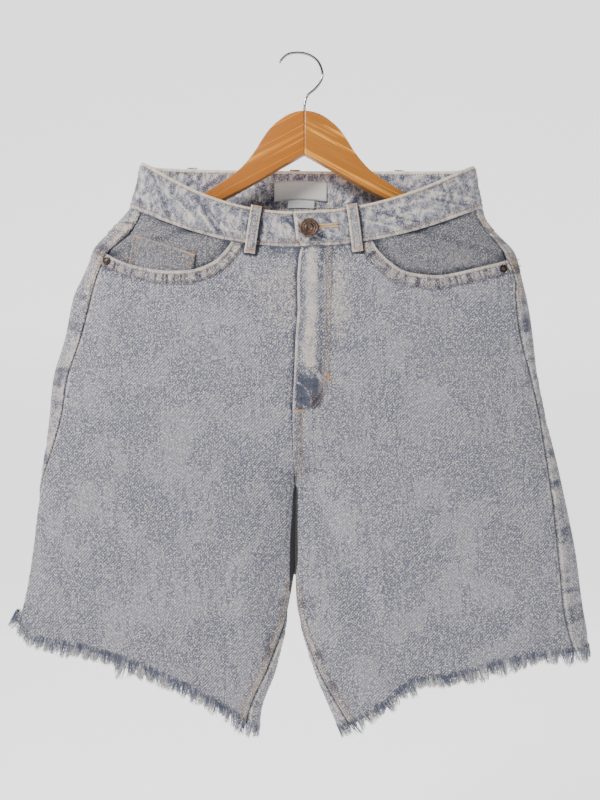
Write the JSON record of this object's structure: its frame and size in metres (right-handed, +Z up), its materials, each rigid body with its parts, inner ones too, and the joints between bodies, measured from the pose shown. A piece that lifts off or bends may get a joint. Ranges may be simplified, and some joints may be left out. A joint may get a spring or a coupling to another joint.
{
  "type": "denim shorts on a wooden hanger",
  "caption": "Light-wash denim shorts with a buttoned waistband, curved front pockets and frayed hems, hanging flat and hollow over a wooden hanger with a steel wire hook.",
  "frame": {"origin": "inner top of the hook, where a rail or a nail carries the hanger", "axes": "+Z up, +X towards the wearer's left, front of the shorts towards -Y"},
  "size_m": [0.6357, 0.0694, 0.7559],
  "materials": {
    "denim": "light grey-blue stone-washed cotton twill, matt",
    "denim_trim": "light grey-blue stone-washed cotton twill with worn cream edges",
    "yarn": "loose cream and pale blue cotton yarn",
    "label_cloth": "woven satin tape, bare",
    "copper": "antique copper, turned rings",
    "rivet_metal": "blackened with a worn copper middle",
    "wood": "clear-lacquered warm orange-brown wood, satin",
    "steel": "bright plated steel wire"
  },
  "bodies": {
    "root": {"front_right": "denim", "front_left": "denim", "back_right": "denim", "back_left": "denim", "yoke_right": "denim", "yoke_left": "denim", "back_pocket_right": "denim", "back_pocket_left": "denim", "coin_pocket": "denim", "pocket_facing_right": "denim", "pocket_facing_left": "denim", "waistband_front_right": "denim_trim", "waistband_front_left": "denim_trim", "waistband_back": "denim_trim", "belt_loop_front_right": "denim_trim", "belt_loop_front_left": "denim_trim", "belt_loop_back_right": "denim_trim", "belt_loop_back_left": "denim_trim", "belt_loop_back_centre": "denim_trim", "fringe_front_right": "yarn", "fringe_front_left": "yarn", "fringe_back_right": "yarn", "fringe_back_left": "yarn", "label": "label_cloth", "label_strip": "label_cloth", "button": "copper", "rivet_right": "rivet_metal", "rivet_left": "rivet_metal", "hanger_arm_right": "wood", "hanger_arm_left": "wood", "hook": "steel"}
  },
  "joints": []
}
